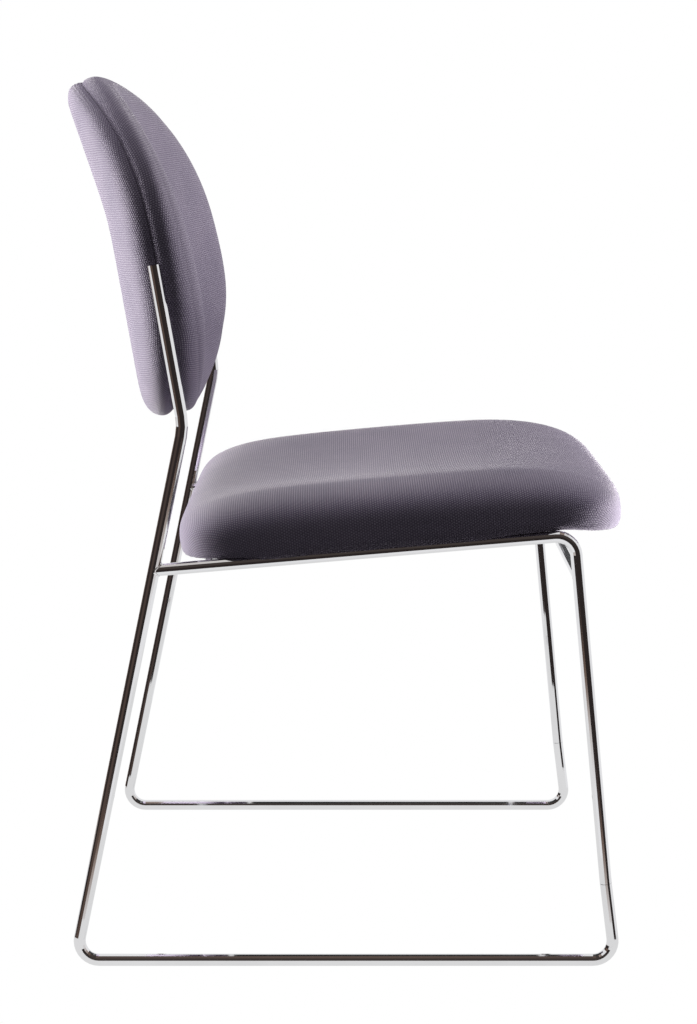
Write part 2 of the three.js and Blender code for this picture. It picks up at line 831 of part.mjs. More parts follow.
// Places of the clips, square to the seam.
const clipPoints = sides.flatMap((side) => [
  { name: `${side.name}_lower`, rise: backMiddle - clipDrop },
  { name: `${side.name}_upper`, rise: backMiddle + clipRise },
].map((point) => {
  const x = (Math.sign(side.x) * clipSpacing) / 2;
  const step = clipShankDiameter / 2;
  const slopeX = (seamDepth(x + step, point.rise) - seamDepth(x - step, point.rise)) / (2 * step);
  const slopeZ = (seamDepth(x, point.rise + step) - seamDepth(x, point.rise - step)) / (2 * step);
  return {
    name: point.name,
    origin: onBack(x, point.rise, seamDepth(x, point.rise)),
    normal: new THREE.Vector3(-slopeX, -1, -slopeZ).normalize(),
  };
}));

// A round bore along a fastening point's normal, between two distances from the seam.
function boreAt(point, radius, from, to) {
  const middle = point.origin.clone().addScaledVector(point.normal, (from + to) / 2);
  return roundBar(radius, to - from, middle, point.normal);
}

const backHemLayer = seamGap + coverThickness;
const backBoardLayer = backHemLayer + gap;
const nutFace = (backBoardLayer + frontBoardThickness) * Math.cos(bracketTilt) - 2 * gap;
const backNutBarrel = frontBoardThickness - nutFlangeThickness;
const throughFront = backBoardLayer + frontBoardThickness + cutOverrun;
const throughRear = -(backBoardLayer + rearBoardThickness + cutOverrun);

for (const half of halves) {
  const turned = half.facing < 0;
  const cover = sheetSolid(
    padSheet(half, 0, seamGap, [backBoardInset, backHemWidth]),
    padSheet(half, coverThickness, backHemLayer, [backBoardInset, backHemWidth]),
    turned,
  );
  const slots = sides.map((side) => bracketPlate(side, 2 * backBoardLayer, 2 * gap));
  const coverBores = backPoints.map((point) => (half.facing > 0
    ? boreAt(point, screwDiameter / 2 + boreClearance, 0, 2 * backBoardLayer)
    : boreAt(point, headAccessDiameter / 2, -2 * backBoardLayer, 0)));
  addPiece(backGroup, `back_${half.name}_cover`, cutBy(cover, ...slots, ...coverBores), fabric);

  const pocketEdge = backBoardInset - gap;
  addPiece(
    backGroup,
    `back_${half.name}_foam`,
    sheetSolid(
      padSheet(half, coverThickness + gap, backBoardLayer, [pocketEdge]),
      seamSheet(half, pocketEdge, backBoardLayer + half.board + gap),
      turned,
    ),
    foam,
  );

  const board = sheetSolid(
    seamSheet(half, backBoardInset, backBoardLayer + half.board),
    seamSheet(half, backBoardInset, backBoardLayer),
    turned,
  );
  const boardBoresHere = backPoints.flatMap((point) => (half.facing > 0
    ? [
      boreAt(point, nutBarrelDiameter / 2 + boreClearance, 0, throughFront),
      boreAt(
        point,
        nutFlangeDiameter / 2 + 2 * boreClearance,
        nutFace - nutFlangeThickness - gap,
        throughFront,
      ),
    ]
    : [boreAt(point, headAccessDiameter / 2, throughRear, 0)]));
  const clipBores = clipPoints.map((point) => (
    boreAt(point, clipShankDiameter / 2 + boreClearance, throughRear, throughFront)
  ));
  addPiece(backGroup, `back_${half.name}_board`, cutBy(board, ...boardBoresHere, ...clipBores), plywood);
}

for (const side of sides) {
  const upright = rodGeometry(
    [onBack(side.x, -bracketHeight, 0), onBack(side.x, uprightLength + bracketHeight, 0)],
    [],
    rodRadius + gap,
  );
  const holes = backPoints.filter((point) => point.side === side).map((point) => (
    boreAt(point, screwDiameter / 2 + boreClearance, -bracketThickness, bracketThickness)
  ));
  const plate = bracketPlate(side, bracketThickness, 0);
  addPiece(backGroup, `${side.name}_back_bracket`, cutBy(plate, upright, ...holes), steel);
}

for (const point of backPoints) {
  const headSeat = -(bracketThickness / 2 + gap);
  const seatOfHead = point.origin.clone().addScaledVector(point.normal, headSeat);
  const screw = screwGeometry(nutFace - headSeat);
  addPiece(backGroup, `${point.name}_back_screw`, aim(screw, seatOfHead, point.normal), steel);
  const nutOrigin = point.origin.clone().addScaledVector(point.normal, nutFace);
  const nut = nutGeometry(backNutBarrel);
  addPiece(backGroup, `${point.name}_back_nut`, aim(nut, nutOrigin, point.normal), steel);
}

// A push-in clip: a collar between the two boards, with a pin into each of them.
const clipPin = clipShankDiameter / 2;
const clipCollar = clipCollarDiameter / 2;
const clipCollarEdge = clipCollarThickness / 2;
const clipProfile = [
  new THREE.Vector2(0, -clipCollarEdge - clipRearGrip),
  new THREE.Vector2(clipPin, -clipCollarEdge - clipRearGrip),
  new THREE.Vector2(clipPin, -clipCollarEdge),
  new THREE.Vector2(clipCollar, -clipCollarEdge),
  new THREE.Vector2(clipCollar, clipCollarEdge),
  new THREE.Vector2(clipPin, clipCollarEdge),
  new THREE.Vector2(clipPin, clipCollarEdge + clipFrontGrip),
  new THREE.Vector2(0, clipCollarEdge + clipFrontGrip),
];
for (const point of clipPoints) {
  const clip = new THREE.LatheGeometry(clipProfile, hiddenSegments).rotateX(Math.PI / 2);
  addPiece(backGroup, `${point.name}_back_clip`, aim(clip, point.origin, point.normal), clipPlastic);
}

seatGroup.updateMatrixWorld(true);

// The chair stands on the floor with its origin under the middle of its overall size.
const overall = new THREE.Box3().setFromObject(chair, true);
chair.position.y = -(overall.min.y + overall.max.y) / 2;

export default chair;
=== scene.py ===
"""Looks of the sled base visitor chair: chromed rod frame, knitted fabric seat and a two-part back.

Metres, +Z up. The chair faces -Y, and the photograph is taken from its right side, at -X.
Surface sizes are written in millimetres and turned to metres by MM.
"""

import math

import bpy
import numpy as np
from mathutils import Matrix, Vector


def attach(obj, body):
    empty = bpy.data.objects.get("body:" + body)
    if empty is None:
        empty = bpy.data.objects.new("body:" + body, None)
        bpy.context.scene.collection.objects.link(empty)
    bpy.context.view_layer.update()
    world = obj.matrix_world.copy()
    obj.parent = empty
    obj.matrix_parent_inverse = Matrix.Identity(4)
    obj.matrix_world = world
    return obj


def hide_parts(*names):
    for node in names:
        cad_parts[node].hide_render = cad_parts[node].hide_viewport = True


MM = 0.001
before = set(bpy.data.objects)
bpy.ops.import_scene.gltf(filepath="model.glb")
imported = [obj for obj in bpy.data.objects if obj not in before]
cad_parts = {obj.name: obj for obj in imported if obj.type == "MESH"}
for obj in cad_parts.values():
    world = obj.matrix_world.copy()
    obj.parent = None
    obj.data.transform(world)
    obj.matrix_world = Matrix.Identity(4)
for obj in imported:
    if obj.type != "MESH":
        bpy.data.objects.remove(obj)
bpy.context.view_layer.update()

# Driving dimensions, the same as the CAD part's
ROD_RADIUS = 5.5
ROD_SIDES = 16
HALF_FRAME = 240
BEND_HEIGHT = 499
REAR_LEG_RUN = 102.3
UPRIGHT_LEAN = math.radians(9.85)
RAIL_REAR_HEIGHT = 368
RAIL_FRONT_HEIGHT = 400.3
RUNNER_LENGTH = 493
FRONT_LEG_RUN = 38.7
CHAIR_SHIFT = 242.303
COVER = 1.5
GAP = 0.3

RUNNER_HEIGHT = ROD_RADIUS * math.cos(math.pi / ROD_SIDES)
RAIL_REAR_FORWARD = REAR_LEG_RUN * (RAIL_REAR_HEIGHT - RUNNER_HEIGHT) / (BEND_HEIGHT - RUNNER_HEIGHT)
RAIL_RUN = RUNNER_LENGTH - FRONT_LEG_RUN - RAIL_REAR_FORWARD
RAIL_SLOPE = math.atan2(RAIL_FRONT_HEIGHT - RAIL_REAR_HEIGHT, RAIL_RUN)

SEAT_WIDTH = 500
SEAT_DEPTH = 417.5
SEAT_REAR_GAP = 18
SEAT_MIDDLE = SEAT_REAR_GAP + SEAT_DEPTH / 2
SEAT_CROWN = 60
SEAT_DISH = 14
SEAT_CROWN_SPACING = 350
SEAT_WIDEST = 18
SEAT_LIP = 3.8
SEAT_LIP_INSET = 3.6
SEAT_DROOP = 13.5
SEAT_DROOP_REACH = 79
SEAT_NOSE_FALL = 7.5
SEAT_NOSE_REACH = 130
HEM_HEIGHT = ROD_RADIUS + GAP
SEAT_BOARD_INSET = 14
SEAT_BOARD_THICKNESS = 9
SEAT_HEM = 25

BACK_WIDTH = 467
BACK_MIDDLE = 148
BACK_RISE = 178
BACK_DROP = 154
BACK_HOLLOW = 38.5
BACK_LEAN_SHARE = 0.17
BACK_LEAN_START = 190
BACK_LEAN_BLEND = 10
BACK_BOARD_INSET = 18
BACK_HEM_TURN = 8
BACK_HEM = 28
SEAM_GAP = 0.15
SEAM_FORWARD = 4
SEAM_HIGH_FORWARD = 2.5
SEAM_LOW_START = 96
SEAM_LOW_FORWARD = 14

# Mesh helpers

OUTLINE_SAMPLES = 7201
INNER_SHARES = (0.25, 0.5, 0.75, 1)


def outline(count, half_width, half_upper, half_lower, upper_power, lower_power):
    """Points of a rounded outline at even spacing, as shares of its half sizes, and its outward normals."""
    angle = np.linspace(0, 2 * math.pi, OUTLINE_SAMPLES)
    power = np.where(np.sin(angle) > 0, upper_power, lower_power)
    reach = (np.abs(np.cos(angle)) ** power + np.abs(np.sin(angle)) ** power) ** (1 / power)
    across, along = np.cos(angle) / reach, np.sin(angle) / reach
    half = np.where(along > 0, half_upper, half_lower)
    length = np.concatenate([[0], np.cumsum(np.hypot(np.diff(across * half_width), np.diff(along * half)))])
    even = np.linspace(0, length[-1], count, endpoint=False)
    across, along = np.interp(even, length, across), np.interp(even, length, along)
    half = np.where(along > 0, half_upper, half_lower)
    x, y = across * half_width, along * half
    dx, dy = np.roll(x, -1) - np.roll(x, 1), np.roll(y, -1) - np.roll(y, 1)
    size = np.hypot(dx, dy)
    return across, along, dy / size, -dx / size


def crown_share(out, flatness, fullness):
    """The share of a crown's full height at a share of the way out to its rim."""
    return (1 - np.minimum(out, 1) ** flatness) ** (1 / fullness)


def steps(count, crowding):
    """Shares of the way out, crowded at the rim."""
    return [1 - (1 - (k + 1) / count) ** crowding for k in range(count)]


def blend_past(value, start, blend):
    """Rises from 0 to 1 once the value is past start."""
    return np.clip((value - start) / blend, 0, 1)


def level(value):
    """A height or depth that is the same all round a ring."""
    return lambda x, along: value


def fabric_places(middle, rings, normals):
    """Where each point of a padded surface lies on the flat cloth: its flat place, pushed out by the fall."""
    flat = np.stack([ring[:, :2] for ring in rings])
    deep = np.stack([ring[:, 2] for ring in rings])
    first = np.repeat(np.array([middle])[:, None, :], flat.shape[1], axis=1)
    flat_all = np.concatenate([first[..., :2], flat])
    deep_all = np.concatenate([first[..., 2], deep])
    moved = np.diff(flat_all, axis=0)
    plan = np.hypot(moved[..., 0], moved[..., 1])
    inward = np.sum(moved * normals[None], axis=-1) < 0
    length = np.hypot(plan, np.diff(deep_all, axis=0))
    extra = np.cumsum(length - np.where(inward, -plan, plan), axis=0)
    return flat + normals[None] * extra[..., None]


def band(upper, lower, count):
    """Quads between two rings, each named by the number of its first point."""
    following = [(j + 1) % count for j in range(count)]
    return [(upper + j, lower + j, lower + k, upper + k) for j, k in enumerate(following)]


def sheet_faces(first, ring_count, count):
    """Faces of a sheet: its middle is the point numbered first, and its rings come after it."""
    ring = first + 1
    faces = [(first, ring + j, ring + (j + 1) % count) for j in range(count)]
    for i in range(ring_count - 1):
        faces += band(ring + i * count, ring + (i + 1) * count, count)
    return faces


def facing_out(faces, flipped):
    """The same faces, turned over where flipped says that they would face inward."""
    return [face[::-1] for face in faces] if flipped else faces


# Cloth

CLOTH_FRAMES = 20
CLOTH_PRESSURE = 4
CLOTH_REACH = 1.0
CLOTH_RING_STEP = 2
CLOTH_COLUMN_STEP = 4
CLOTH_SMOOTHINGS = 3
SMALLEST_MOVE = 1e-9


def simulate(start, faces, held):
    """Where the points of a sheet end up when it is blown up as cloth with the held ones fixed."""
    mesh = bpy.data.meshes.new("cloth_sheet")
    mesh.from_pydata(start, [], faces)
    sheet = bpy.data.objects.new("cloth_sheet", mesh)
    bpy.context.scene.collection.objects.link(sheet)
    sheet.vertex_groups.new(name="held").add(held, 1, "REPLACE")
    cloth = sheet.modifiers.new("cloth", "CLOTH")
    cloth.settings.vertex_group_mass = "held"
    cloth.settings.use_pressure = True
    cloth.settings.uniform_pressure_force = CLOTH_PRESSURE
    cloth.settings.effector_weights.gravity = 0
    cloth.point_cache.frame_end = CLOTH_FRAMES
    for step in range(1, CLOTH_FRAMES + 1):
        bpy.context.scene.frame_set(step)
    solved = sheet.evaluated_get(bpy.context.evaluated_depsgraph_get()).data
    end = np.empty(len(start) * 3)
    solved.vertices.foreach_get("co", end)
    bpy.data.objects.remove(sheet)
    bpy.data.meshes.remove(mesh)
    bpy.context.scene.frame_set(1)
    return end.reshape(-1, 3)


def capped(moved, reach):
    """The same movements, none of them longer than reach."""
    far = np.linalg.norm(moved, axis=1, keepdims=True)
    return moved * (reach * np.tanh(far / reach) / np.maximum(far, SMALLEST_MOVE))


def filled_in(moved, picked, columns, ring_count, count):
    """The movement of the picked points, filled in for every ring and column. Row 0 is the middle."""
    centre, moved = moved[0], moved[1:].reshape(len(picked), len(columns), 3)
    around = [*columns, count]
    wide = [[np.interp(range(count), around, [*row[:, axis], row[0, axis]]) for axis in range(3)]
            for row in moved]
    wide = np.array(wide)
    rows = [-1, *picked]
    full = [[np.interp(range(-1, ring_count), rows, [centre[axis], *wide[:, axis, j]]) for j in range(count)]
            for axis in range(3)]
    return np.array(full).transpose(2, 1, 0)


def settle(outer, place, turned, pinned):
    """How far each point of the outer sheet moves, in metres, when the cover is blown up as cloth.

    A coarse sheet is simulated, held from the ring numbered pinned to its last one.
    """
    middle, rings = outer
    count = len(rings[0])
    picked = sorted({len(rings) - 1, *range(1, len(rings), CLOTH_RING_STEP)})
    columns = range(0, count, CLOTH_COLUMN_STEP)
    width = len(columns)
    start = place(np.concatenate([[middle], *[rings[i][columns] for i in picked]])) * MM
    held = [1 + i * width + j for i, ring in enumerate(picked) if ring >= pinned for j in range(width)]
    end = simulate(start, facing_out(sheet_faces(0, len(picked), width), turned), held)
    full = filled_in(capped(end - start, CLOTH_REACH * MM), picked, columns, len(rings), count)
    for _ in range(CLOTH_SMOOTHINGS):
        beside = (np.roll(full[1:-1], 1, 1) + np.roll(full[1:-1], -1, 1)) / 4
        around = (full[:-2] + full[2:]) / 4 + beside
        full[1:-1] = (full[1:-1] + around) / 2
    full[pinned + 1:] = 0
    return np.concatenate([full[0, :1], full[1:].reshape(-1, 3)])


def closed_pad(name, outer, inner, place, turned, normals, material, held_rings):
    """One closed body between two sheets, which meet along their last rings. A sheet is (middle, rings)."""
    count = len(outer[1][0])
    inner_first = 1 + len(outer[1]) * count
    points = np.concatenate([[outer[0]], *outer[1], [inner[0]], *inner[1]])
    faces = facing_out(sheet_faces(0, len(outer[1]), count), turned)
    faces += facing_out(sheet_faces(inner_first, len(inner[1]), count), not turned)
    faces += facing_out(band(inner_first - count, len(points) - count, count), turned)
    placed = place(points) * MM
    placed[:inner_first] += settle(outer, place, turned, len(outer[1]) - held_rings)
    mesh = bpy.data.meshes.new(name)
    mesh.from_pydata(placed, [], faces)
    mesh.validate()
    outer_cloth = fabric_places(*outer, normals).reshape(-1, 2)
    inner_cloth = np.zeros((len(inner[1]) * count, 2))
    cloth = np.concatenate([[outer[0][:2]], outer_cloth, [inner[0][:2]], inner_cloth])
    layer = mesh.uv_layers.new(name="cloth")
    loops = np.empty(len(mesh.loops), int)
    mesh.loops.foreach_get("vertex_index", loops)
    layer.data.foreach_set("uv", (cloth[loops] * MM).ravel())
    mesh.shade_smooth()
    piece = bpy.data.objects.new(name, mesh)
    bpy.context.scene.collection.objects.link(piece)
    mesh.materials.append(material)
    return piece


# Seat

SEAT_COLUMNS = 320
SEAT_RINGS = 46
SEAT_CROWDING = 2.0
SEAT_SIDE_RINGS = 10
SEAT_HELD_RINGS = 7
SEAT_FRONT_SQUARENESS = 5.6
SEAT_REAR_SQUARENESS = 7.6

# How flat and how full the crown is at the sides, the front and the rear
SEAT_SIDE_CROWN = (4.5, 4.0)
SEAT_FRONT_CROWN = (3.2, 2.6)
SEAT_REAR_CROWN = (3.7, 2.6)

# Where the lip rises and hugs the rod, as shares of the way to a corner, or to the front
LIP_FRONT_SHARE = 0.35
LIP_FRONT_BLEND_SHARE = 0.12
LIP_BEND_SHARE = 0.72
LIP_BEND_BLEND_SHARE = 0.12
LIP_REAR_SHARE = 0.61
LIP_REAR_BLEND_SHARE = 0.08
LIP_HUG_SHARE = 0.4
LIP_HUG_BLEND_SHARE = 0.2
LIP_HUG_LESS_SHARE = 0.6

GATHER_ROUND = 1750
GATHER_SPACING = 9.3
GATHER_SECOND_SPACING = 6.1
GATHER_SECOND_SHARE = 0.5
GATHER_SHIFT = 1.3
GATHER_DEPTH = 0.35
GATHER_CORNER_SHARE = 0.25
GATHER_BLEND_SHARE = 0.3

seat_across, seat_along, seat_nx, seat_ny = outline(
    SEAT_COLUMNS, SEAT_WIDTH / 2, SEAT_DEPTH / 2, SEAT_DEPTH / 2, SEAT_FRONT_SQUARENESS, SEAT_REAR_SQUARENESS)
seat_corner = np.abs(seat_across * seat_along)


def place_seat(local):
    """Seat coordinates (across, forward, height over the rails) to the chair's, in millimetres."""
    x, forward, height = local[:, 0], local[:, 1], local[:, 2]
    y = -forward * math.cos(RAIL_SLOPE) + height * math.sin(RAIL_SLOPE)
    z = forward * math.sin(RAIL_SLOPE) + height * math.cos(RAIL_SLOPE)
    return np.stack([x, y - RAIL_REAR_FORWARD + CHAIR_SHIFT, z + RAIL_REAR_HEIGHT], axis=1)


def seat_ring(inset, scale, height_at):
    x = seat_across * (SEAT_WIDTH / 2 - inset) * scale
    forward = SEAT_MIDDLE + seat_along * (SEAT_DEPTH / 2 - inset) * scale
    return np.stack([x, forward, height_at(x, forward) + 0 * x], axis=1)


def hang_at(forward, reach, at_edge):
    """How far the seat hangs down over its last stretch before the front edge."""
    past = (forward - (SEAT_MIDDLE + SEAT_DEPTH / 2 - reach)) / reach
    return at_edge * np.maximum(0, past) ** 2


def seat_droop(forward):
    return hang_at(forward, SEAT_DROOP_REACH, SEAT_DROOP)


def seat_fall(forward):
    return hang_at(forward, SEAT_NOSE_REACH, SEAT_NOSE_FALL)


def seat_lip():
    """The lip lies beside the rail, and rises to the rod's top where the rod turns in under the seat."""
    before_bend = 1 - blend_past(seat_along, LIP_BEND_SHARE, LIP_BEND_BLEND_SHARE)
    front = blend_past(seat_corner, LIP_FRONT_SHARE, LIP_FRONT_BLEND_SHARE) * before_bend
    rear = blend_past(seat_corner, LIP_REAR_SHARE, LIP_REAR_BLEND_SHARE)
    return SEAT_LIP + (HEM_HEIGHT - SEAT_LIP) * np.where(seat_along > 0, front, rear)


def seat_lip_inset():
    """The lip hugs the rod, and at the rear corners it stays outside it for longer."""
    at_rear_corner = blend_past(seat_corner, LIP_HUG_SHARE, LIP_HUG_BLEND_SHARE) * (seat_along < 0)
    return SEAT_LIP_INSET * (1 - LIP_HUG_LESS_SHARE * at_rear_corner)


def seat_crown(out):
    front, rear = np.maximum(0, seat_along) ** 2, np.maximum(0, -seat_along) ** 2
    flat, full = [side + (at_front - side) * front + (at_rear - side) * rear
                  for side, at_front, at_rear in zip(SEAT_SIDE_CROWN, SEAT_FRONT_CROWN, SEAT_REAR_CROWN)]

    def height_at(x, forward):
        dish = np.maximum(0, 1 - (x / (SEAT_CROWN_SPACING / 2)) ** 2) * (1 - out ** 4)
        top = SEAT_CROWN - SEAT_DISH * dish
        return SEAT_WIDEST + (top - SEAT_WIDEST) * crown_share(out, flat, full) - seat_fall(forward)
    return height_at


def seat_side(fall):
    """Heights below the widest line. The fall is 0 at that line and 1 at the lip."""
    def height_at(x, forward):
        widest = SEAT_WIDEST - seat_fall(forward)
        return widest + (seat_lip() - seat_droop(forward) - widest) * fall
    return height_at


def seat_gathers(ring, fall):
    """Small folds where the cloth is pulled round the corners and in below."""
    along = np.arange(SEAT_COLUMNS) * GATHER_ROUND / SEAT_COLUMNS
    wave = np.sin(along * 2 * math.pi / GATHER_SPACING)
    wave += GATHER_SECOND_SHARE * np.sin(along * 2 * math.pi / GATHER_SECOND_SPACING + GATHER_SHIFT)
    size = GATHER_DEPTH * fall ** 1.5 * blend_past(seat_corner, GATHER_CORNER_SHARE, GATHER_BLEND_SHARE)
    ring[:, 0] -= seat_nx * size * (1 + wave)
    ring[:, 1] -= seat_ny * size * (1 + wave)
    return ring


def build_seat(material):
    top = (0, SEAT_MIDDLE, SEAT_CROWN - SEAT_DISH)
    rings = [seat_ring(0, out, seat_crown(out)) for out in steps(SEAT_RINGS, SEAT_CROWDING)]
    for fall in np.linspace(0, 1, SEAT_SIDE_RINGS + 1)[1:]:
        ring = seat_ring(seat_lip_inset() * fall ** 3, 1, seat_side(fall))
        rings.append(seat_gathers(ring, fall))
    hem_turn = ROD_RADIUS + SEAT_LIP_INSET
    rings.append(seat_ring(hem_turn, 1, lambda x, forward: HEM_HEIGHT - seat_droop(forward) / 2))
    rings += [seat_ring(hem, 1, level(HEM_HEIGHT)) for hem in (SEAT_BOARD_INSET, SEAT_HEM)]
    hem_top = HEM_HEIGHT + COVER
    pocket = SEAT_BOARD_INSET - GAP
    roof = hem_top + GAP + SEAT_BOARD_THICKNESS + GAP
    inner = [seat_ring(pocket, out, level(roof)) for out in INNER_SHARES]
    inner += [seat_ring(hem, 1, level(hem_top)) for hem in (pocket, SEAT_HEM)]
    normals = np.stack([seat_nx, seat_ny], axis=1)
    return closed_pad("seat_cushion", (top, rings), ((0, SEAT_MIDDLE, roof), inner), place_seat, False,
                      normals, material, SEAT_HELD_RINGS)


# Back

BACK_COLUMNS = 288
BACK_RINGS = 84
BACK_CROWDING = 2.6
BACK_HELD_RINGS = 4
BACK_TOP_SQUARENESS = 2.25
BACK_BOTTOM_SQUARENESS = 2.45

PAD_FALL_START = 75
PAD_FALL_END = 240
PAD_FALL_BLEND = 20
PAD_RECOVERY_SHARE = 1.6

PLEAT_SPACING = 2.8
PLEAT_REACH = 9.5
PLEAT_START = 1.2
PLEAT_END = 3
PLEAT_TOP_SHARE = 0.70
PLEAT_TOP_BLEND_SHARE = 0.22

back_across, back_along, back_nx, back_ny = outline(
    BACK_COLUMNS, BACK_WIDTH / 2, BACK_RISE, BACK_DROP, BACK_TOP_SQUARENESS, BACK_BOTTOM_SQUARENESS)


def place_back(local):
    """Back coordinates (across, rise along the uprights, depth forward) to the chair's, in millimetres."""
    x, rise, depth = local[:, 0], local[:, 1], local[:, 2]
    y = -depth * math.cos(UPRIGHT_LEAN) + rise * math.sin(UPRIGHT_LEAN)
    z = depth * math.sin(UPRIGHT_LEAN) + rise * math.cos(UPRIGHT_LEAN)
    return np.stack([x, y - REAR_LEG_RUN + CHAIR_SHIFT, z + BEND_HEIGHT], axis=1)


def soft_past(rise, start, blend):
    """How far the rise is past start, with a soft beginning."""
    return blend * np.log1p(np.exp((rise - start) / blend))


def shell_depth(x, rise):
    """The line that the whole back follows: hollow across, and leaning further back near the top."""
    lean = BACK_LEAN_SHARE * soft_past(rise, BACK_LEAN_START, BACK_LEAN_BLEND)
    return -(BACK_HOLLOW + lean) * (1 - (x / HALF_FRAME) ** 2)


def seam_shift(x, rise):
    """How far in front of that line the seam runs: more at the sides, the top and the bottom."""
    high = np.maximum(0, rise - BACK_MIDDLE) / BACK_RISE
    low = np.maximum(0, SEAM_LOW_START - rise) / (SEAM_LOW_START - BACK_MIDDLE + BACK_DROP)
    return SEAM_FORWARD * (x / HALF_FRAME) ** 2 + SEAM_HIGH_FORWARD * high ** 2 + SEAM_LOW_FORWARD * low ** 2


def seam_depth(x, rise):
    return shell_depth(x, rise) + seam_shift(x, rise)


def back_ring(inset, scale, push, depth_at):
    height = np.where(back_along > 0, BACK_RISE, BACK_DROP)
    x = back_across * ((BACK_WIDTH / 2 - inset) * scale + push)
    rise = BACK_MIDDLE + back_along * ((height - inset) * scale + push)
    return np.stack([x, rise, seam_depth(x, rise) + depth_at(x, rise)], axis=1)


def pad_share(side, top, bottom, spread):
    """A pad's crown, which changes from its sides to its top and bottom end."""
    def share(out):
        toward_end = np.abs(back_along) ** spread
        ends = [np.where(back_along > 0, above, below) for above, below in zip(top, bottom)]
        mixed = [beside + (end - beside) * toward_end for beside, end in zip(side, ends)]
        return crown_share(out, *mixed)
    return share


# Sizes of the two halves. Facing is 1 forward and -1 backward.
HALVES = {
    "front": dict(facing=1, board=8, depth=55.5, dish=15, spacing=380, fall=0.07,
                  share=pad_share(side=(8, 2), top=(5.5, 4.5), bottom=(3, 4.5), spread=7),
                  bulge=4, low_bulge=0, bulge_end=0.6, roll=6, roll_inset=2, pleat=0.15),
    "rear": dict(facing=-1, board=4, depth=15, dish=0, spacing=380, fall=0,
                 share=pad_share(side=(24, 2), top=(30, 2), bottom=(18, 2), spread=3),
                 bulge=0.6, low_bulge=6, bulge_end=1, roll=3, roll_inset=1.2, pleat=0.36),
}


def pad_fall(rise):
    """The front pad thins toward its upper half, and keeps its depth near the top."""
    recovery = PAD_RECOVERY_SHARE * soft_past(rise, PAD_FALL_END, PAD_FALL_BLEND)
    return soft_past(rise, PAD_FALL_START, PAD_FALL_BLEND) - recovery


def pleat_share(from_seam):
    """Small pleats beside the seam, which start at the top of the back and run out down its sides."""
    near_top = blend_past(back_along, PLEAT_TOP_SHARE, PLEAT_TOP_BLEND_SHARE)
    within = blend_past(from_seam, 0, PLEAT_START) * np.clip((PLEAT_REACH - from_seam) / PLEAT_END, 0, 1)
    return near_top ** 2 * within * (1 - np.cos(2 * math.pi * from_seam / PLEAT_SPACING)) / 2


def build_back_half(name, material):
    half = HALVES[name]
    facing = half["facing"]
    full = half["depth"]

    def depth_at(out):
        share = half["share"](out)

        def depth(x, rise):
            dish = np.maximum(0, 1 - (x / (half["spacing"] / 2)) ** 2) * (1 - out ** 6) * share ** 3
            padded = SEAM_GAP + (full - half["fall"] * pad_fall(rise)) * share - half["dish"] * dish
            return facing * padded - seam_shift(x, rise) * share
        return depth

    def swell(out):
        share = half["share"](out)
        bulge = half["bulge"] + half["low_bulge"] * np.maximum(0, -back_along) ** 4
        swollen = bulge * np.sin(math.pi * np.minimum(1, share / half["bulge_end"]))
        rolled = half["roll_inset"] * np.maximum(0, 1 - share * full / half["roll"]) ** 2
        tucked = half["pleat"] * pleat_share(share * full)
        return swollen - rolled - tucked

    middle_pad = SEAM_GAP + full - half["fall"] * pad_fall(BACK_MIDDLE) - half["dish"]
    top = (0, BACK_MIDDLE, float(shell_depth(0.0, BACK_MIDDLE)) + facing * middle_pad)
    rings = [back_ring(0, out, swell(out), depth_at(out)) for out in steps(BACK_RINGS, BACK_CROWDING)]
    hem_bottom = level(facing * SEAM_GAP)
    rings += [back_ring(hem, 1, 0, hem_bottom) for hem in (BACK_HEM_TURN, BACK_BOARD_INSET, BACK_HEM)]
    pocket = BACK_BOARD_INSET - GAP
    hem_top = facing * (SEAM_GAP + COVER)
    roof = facing * (SEAM_GAP + COVER + GAP + half["board"] + GAP)
    inner = [back_ring(BACK_HEM, out, 0, level(roof)) for out in INNER_SHARES]
    inner.append(back_ring(pocket, 1, 0, level(roof)))
    inner += [back_ring(hem, 1, 0, level(hem_top)) for hem in (pocket, BACK_HEM)]
    inner_middle = (0, BACK_MIDDLE, float(seam_depth(0.0, BACK_MIDDLE)) + roof)
    normals = np.stack([back_nx, back_ny], axis=1)
    return closed_pad(f"back_{name}_cushion", (top, rings), (inner_middle, inner), place_back, facing < 0,
                      normals, material, BACK_HELD_RINGS)


# Material helpers

NOISE_ROUGHNESS = 0.6


def new_material(name):
    material = bpy.data.materials.new(name)
    material.use_nodes = True
    tree = material.node_tree
    return material, tree, tree.nodes["Principled BSDF"]


def node(tree, kind, **settings):
    made = tree.nodes.new(kind)
    for key, value in settings.items():
        setattr(made, key, value)
    return made


def math_node(tree, operation, first, second=None):
    made = node(tree, "ShaderNodeMath", operation=operation)
    for socket, value in zip(made.inputs, (first, second)):
        if value is None:
            continue
        if isinstance(value, (int, float)):
            socket.default_value = value
        else:
            tree.links.new(value, socket)
    return made.outputs[0]


def noise(tree, vector, scale, detail):
    made = node(tree, "ShaderNodeTexNoise")
    made.inputs["Scale"].default_value = scale
    made.inputs["Detail"].default_value = detail
    made.inputs["Roughness"].default_value = NOISE_ROUGHNESS
    tree.links.new(vector, made.inputs["Vector"])
    return made.outputs["Fac"]


def ramp(tree, value, stops):
    made = node(tree, "ShaderNodeValToRGB")
    elements = made.color_ramp.elements
    while len(elements) < len(stops):
        elements.new(0.5)
    for element, (position, color) in zip(elements, stops):
        element.position = position
        element.color = (*color, 1)
    tree.links.new(value, made.inputs["Fac"])
    return made.outputs["Color"]


